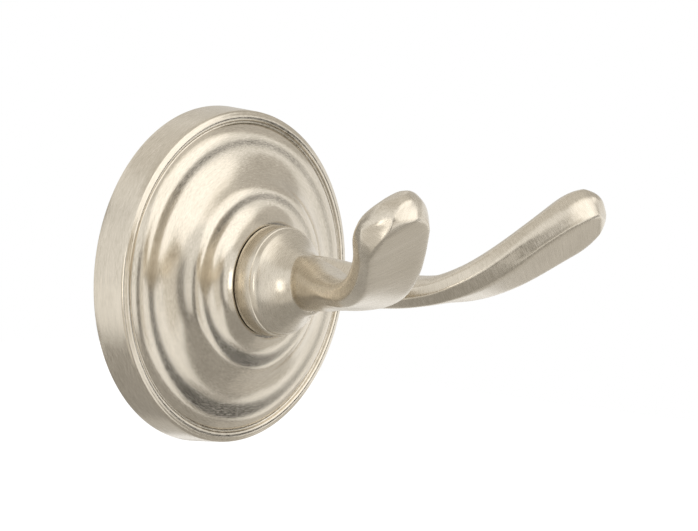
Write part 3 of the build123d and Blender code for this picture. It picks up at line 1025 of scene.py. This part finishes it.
@dataclass
class Hook:
    """The casting: post, spigot and a mirrored pair of arms, tapped from behind.

    Attributes:
        tapped_radius: radius of the machine screw's hole.
        tapped_start: distance from the wall at which the hole opens, and tapped_end its bottom.
        softened: what soften_seams takes: nearest and furthest distance, reach and rounds.
    """

    post: Post = field(default_factory=Post)
    right: Arm = field(default_factory=Arm)
    left: Arm = field(default_factory=lambda: Arm(side=-1))
    tapped_radius: float = 2.6
    tapped_start: float = 12.0
    tapped_end: float = 25.1
    softened: tuple[float, float, float, int] = (24.0, 35.0, 1.3, 14)

    def tapped_hole(self) -> bmesh.types.BMesh:
        """Hole behind the spigot for the machine screw."""
        shape = bmesh.new()
        length = self.tapped_end - self.tapped_start
        radius = self.tapped_radius
        bmesh.ops.create_cone(shape, cap_ends=True, segments=48, radius1=radius, radius2=radius, depth=length)
        bmesh.ops.rotate(shape, matrix=Matrix.Rotation(math.radians(90), 3, "X"), verts=shape.verts)
        bmesh.ops.translate(shape, vec=(0, -(self.tapped_start + length / 2), 0), verts=shape.verts)
        return shape

    def build(self, finish: SatinNickel) -> bpy.types.Object:
        """Join the parts of the casting, finish it and put it in place of the CAD node.

        Args:
            finish: the plating.

        Returns:
            The finished piece.
        """
        steps = [
            (self.right.mesh(), "UNION"),
            (self.left.mesh(), "UNION"),
            (self.post.collar(), "UNION"),
            (self.post.spigot(), "UNION"),
            (self.tapped_hole(), "DIFFERENCE"),
        ]
        made = joined_by_boolean("hook_casting", self.post.bell_mesh(), steps, 30.0)
        soften_seams(made, *self.softened)
        made.data.set_sharp_from_angle(angle=math.radians(30))
        made.data.materials.clear()
        made.data.materials.append(finish.material("satin_nickel_hand_brushed", Grain.ALONG_UV))
        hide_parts("hook")
        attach(made, "root")
        return made


@dataclass
class Fixings:
    """Hidden bracket, washers and screws, which keep their CAD shapes."""

    zinc: PlainSteel = PlainSteel((0.66, 0.67, 0.68), (0.5, 0.52, 0.55), (0.28, 0.4), 260.0)
    dark: PlainSteel = PlainSteel((0.12, 0.12, 0.125), (0.06, 0.06, 0.065), (0.35, 0.5), 400.0)
    plated: tuple[str, ...] = ("wall_bracket", "clamp_washer", "lock_washer", "post_screw")
    blackened: tuple[str, ...] = ("set_screw",)

    def build(self) -> None:
        """Give each CAD node its finish."""
        zinc = self.zinc.material("bright_zinc_plate")
        dark = self.dark.material("blackened_steel")
        for names, finish in ((self.plated, zinc), (self.blackened, dark)):
            for name in names:
                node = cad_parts[name]
                node.data.materials.clear()
                node.data.materials.append(finish)
                LOG.info("%s keeps its CAD shape, in %s", name, finish.name)


@dataclass(frozen=True)
class Card:
    """Flat panel round the object, lit or dark, that only reflections see.

    Attributes:
        azimuth: degrees from straight ahead of the hook towards +X.
        height: degrees above the level of the post.
        away: distance from the object, in metres.
        size: width and height, in metres.
        strength: brightness, where the white surroundings are 1.
    """

    azimuth: float
    height: float
    away: float
    size: Point
    strength: float


@dataclass
class Studio:
    """White surroundings, pale floor, soft lamps, dark cards and the camera.

    Attributes:
        focus: where cards and lamps look, in metres.
        floor_height: level of the floor, and floor_size how far it reaches from the middle.
        floor_paint: grey of the floor.
        floor_lift: light of its own that the floor gives to the eye, so that it shows white.
        matt_light: brightness of the surroundings where they only light matt surfaces.
        card_tint: colour of the cards, lamp_tint that of the lamps.
        camera_angles: azimuth, elevation and roll of the camera, in degrees.
        camera_place: how far the camera stands to the side, up and back, in millimetres.
        focal_pixels: focal length, in pixels of the photograph.
    """

    focus: Triple = (0.0, -0.04, 0.0)
    floor_height: float = -0.85
    floor_size: float = 6.0
    floor_paint: float = 0.9
    cards: tuple[Card, ...] = (
        Card(-25, -14, 0.80, (0.24, 0.70), 0.30),
        Card(47.5, -9, 0.77, (0.19, 0.34), 0.02),
        Card(92, -30, 0.79, (0.50, 0.30), 0.66),
        Card(45, -26, 0.79, (0.24, 0.15), 0.42),
        Card(84, 38, 0.98, (1.10, 0.90), 0.60),
        Card(161, 9, 0.90, (1.60, 1.12), 0.70),
        Card(-168, -1, 0.92, (1.23, 1.40), 0.40),
        Card(6, 88, 1.00, (1.80, 1.80), 0.74),
        Card(-11, -6, 0.83, (0.60, 0.59), 0.86),
        Card(-85, -25, 0.75, (0.90, 0.93), 0.76),
        Card(106, -52, 0.83, (1.20, 0.48), 0.58),
        Card(14, -88, 0.70, (1.79, 1.80), 0.42),
    )
    lamps: tuple[Card, ...] = (
        Card(14, 26, 0.96, (1.06, 1.12), 0.56),
        Card(120, -15, 0.84, (0.24, 0.24), 0.12),
        Card(-70, -2, 0.70, (0.20, 0.36), 1.75),
    )
    floor_lift: float = 0.4
    matt_light: float = 0.8
    card_tint: Triple = (1.0, 0.97, 0.92)
    lamp_tint: Triple = (1.0, 0.99, 0.975)
    white: Triple = (1.0, 1.0, 1.0)
    camera_angles: Triple = (-50.42, 4.01, 2.70)
    camera_place: Triple = (-28.46, 1.71, 622.65)
    focal_pixels: float = 2991.6
    sensor_width: float = 36.0

    def facing(self, card: Card) -> Matrix:
        """Place of a card that looks at the object."""
        turn = math.radians(card.azimuth)
        rise = math.radians(card.height)
        away = Vector((math.sin(turn) * math.cos(rise), -math.cos(turn) * math.cos(rise), math.sin(rise)))
        place = Vector(self.focus) + away * card.away
        return Matrix.Translation(place) @ away.to_track_quat("Z", "Y").to_matrix().to_4x4()

    def emitter(self, name: str, strength: float) -> bpy.types.Material:
        """Plain material of a card: a grey that gives off its own light."""
        bench = NodeBench(bpy.data.materials.new(name))
        bench.finish(bench.glow("glow", "ShaderNodeEmission", self.card_tint, strength))
        return bench.owner

    def add_panel(self, name: str, shape: bmesh.types.BMesh, material: bpy.types.Material) -> bpy.types.Object:
        """Object of the studio, made from a bmesh in metres."""
        mesh = bpy.data.meshes.new(name)
        shape.to_mesh(mesh)
        shape.free()
        mesh.materials.append(material)
        made = bpy.data.objects.new(name, mesh)
        bpy.context.scene.collection.objects.link(made)
        return made

    def add_card(self, number: int, card: Card) -> None:
        """Panel that the camera itself doesn't see."""
        shape = bmesh.new()
        bmesh.ops.create_grid(shape, x_segments=1, y_segments=1, size=0.5)
        bmesh.ops.scale(shape, vec=(card.size[0], card.size[1], 1), verts=shape.verts)
        bmesh.ops.transform(shape, matrix=self.facing(card), verts=shape.verts)
        name = f"studio_card_{number}"
        made = self.add_panel(name, shape, self.emitter(name, card.strength))
        made.visible_camera = False
        made.visible_shadow = False
        made.visible_diffuse = False

    def add_lamp(self, number: int, card: Card) -> None:
        """Soft rectangular lamp."""
        light = bpy.data.lights.new(f"soft_lamp_{number}", "AREA")
        light.shape = "RECTANGLE"
        light.size, light.size_y = card.size
        light.energy = card.strength * card.size[0] * card.size[1] * math.pi
        light.color = self.lamp_tint
        made = bpy.data.objects.new(light.name, light)
        made.matrix_world = self.facing(card)
        bpy.context.scene.collection.objects.link(made)

    def add_floor(self) -> None:
        """Pale floor that shows white to the eye and to reflections and keeps shadows."""
        shape = bmesh.new()
        bmesh.ops.create_grid(shape, x_segments=1, y_segments=1, size=self.floor_size)
        bmesh.ops.translate(shape, vec=(0, 0, self.floor_height), verts=shape.verts)
        bench = NodeBench(bpy.data.materials.new("pale_floor"))
        matt = bench.add("ShaderNodeBsdfDiffuse", "paint")
        matt.inputs["Color"].default_value = (self.floor_paint, self.floor_paint, self.floor_paint, 1.0)
        lift = bench.math("lift", "MULTIPLY", bench.seen(), self.floor_lift)
        glow = bench.glow("lifted to white", "ShaderNodeEmission", self.white, lift)
        both = bench.add("ShaderNodeAddShader", "paint and lift")
        bench.link(matt.outputs[0], both.inputs[0])
        bench.link(glow, both.inputs[1])
        bench.finish(both.outputs[0])
        made = self.add_panel("floor", shape, bench.owner)

    def add_world(self) -> None:
        """White surroundings, a little dimmer where they only light matt surfaces."""
        world = bpy.data.worlds.new("white_room")
        bpy.context.scene.world = world
        bench = NodeBench(world)
        blend = bench.add("ShaderNodeMixShader", "seen or only lighting")
        bench.link(bench.seen(), blend.inputs[0])
        bench.link(bench.glow("plain", "ShaderNodeBackground", self.white, self.matt_light), blend.inputs[1])
        bench.link(bench.glow("white", "ShaderNodeBackground", self.white, 1.0), blend.inputs[2])
        bench.finish(blend.outputs[0])

    def add_camera(self) -> None:
        """Camera at the photograph's angle."""
        turn, rise, roll = (math.radians(angle) for angle in self.camera_angles)
        back = Vector((math.sin(turn) * math.cos(rise), -math.cos(turn) * math.cos(rise), math.sin(rise)))
        right = Vector((math.cos(turn), math.sin(turn), 0.0))
        upward = back.cross(right)
        level = math.cos(roll) * right + math.sin(roll) * upward
        tall = math.cos(roll) * upward - math.sin(roll) * right
        aside, up, away = (length * MM for length in self.camera_place)
        place = -aside * level + up * tall + away * back
        view = Matrix((level, tall, back)).transposed().to_4x4()
        view.translation = place
        lens = bpy.data.cameras.new("camera")
        lens.sensor_width = self.sensor_width
        lens.sensor_fit = "HORIZONTAL"
        lens.lens = self.sensor_width * self.focal_pixels / PHOTO_WIDTH
        lens.clip_start = 0.01
        made = bpy.data.objects.new("camera", lens)
        made.matrix_world = view
        bpy.context.scene.collection.objects.link(made)
        bpy.context.scene.camera = made

    def build(self) -> None:
        """Set everything up round the object."""
        self.add_world()
        self.add_floor()
        for number, card in enumerate(self.cards):
            self.add_card(number, card)
        for number, lamp in enumerate(self.lamps):
            self.add_lamp(number, lamp)
        self.add_camera()
        bpy.context.scene.view_settings.view_transform = "Standard"


def main() -> None:
    """Build the pieces in order."""
    logging.basicConfig(level=logging.INFO, format="%(name)s: %(message)s")
    turned = SatinNickel(sheen=(0.155, 0.265))
    for builder, finish in ((Rosette(), turned), (Hook(), SatinNickel())):
        made = builder.build(finish)
        LOG.info("%s: %d faces", made.name, len(made.data.polygons))
    Fixings().build()
    Studio().build()


if __name__ == "__main__":
    main()
